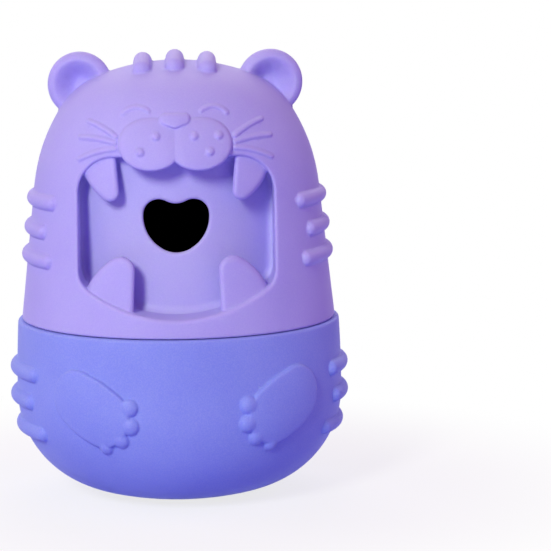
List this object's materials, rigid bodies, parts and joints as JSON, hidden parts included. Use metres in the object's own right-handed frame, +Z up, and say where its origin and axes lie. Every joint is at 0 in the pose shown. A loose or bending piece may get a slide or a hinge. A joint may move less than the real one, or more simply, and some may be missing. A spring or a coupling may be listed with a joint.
{
  "type": "treat dispensing dog toy",
  "caption": "Tumbling treat toy: a silicone animal head with a mouth and heart-shaped outlet plugged on a weighted round-bottomed cup.",
  "frame": {"origin": "centre of the round foot, on the floor", "axes": "+Z up along the axis that cup, neck and head are turned about, -Y towards the viewer of the face, +X to the viewer's right"},
  "size_m": [0.095, 0.0912, 0.1229],
  "materials": {
    "head_silicone": "matte lilac silicone",
    "drum_plastic": "satin lilac moulding",
    "cup_silicone": "matte periwinkle silicone",
    "collar_plastic": "satin",
    "housing_plastic": "satin",
    "seal_silicone": "matte translucent white",
    "weight_steel": "turned"
  },
  "bodies": {
    "base": {"base_cup": "cup_silicone", "base_collar": "collar_plastic", "weight_housing": "housing_plastic", "counterweight": "weight_steel", "weight_cover": "housing_plastic"},
    "seal": {"seal_ring": "seal_silicone"},
    "head": {"head_shell": "head_silicone", "treat_drum": "drum_plastic", "head_collar": "collar_plastic"}
  },
  "joints": [
    {"name": "head_lift", "type": "slide", "parent": "base", "child": "seal", "axis": [0, 0, 1], "range_m": [0, 0.03]},
    {"name": "head_turn", "type": "hinge", "parent": "seal", "child": "head", "pos_m": [0, 0, 0.0443], "axis": [0, 0, 1], "continuous": true}
  ]
}
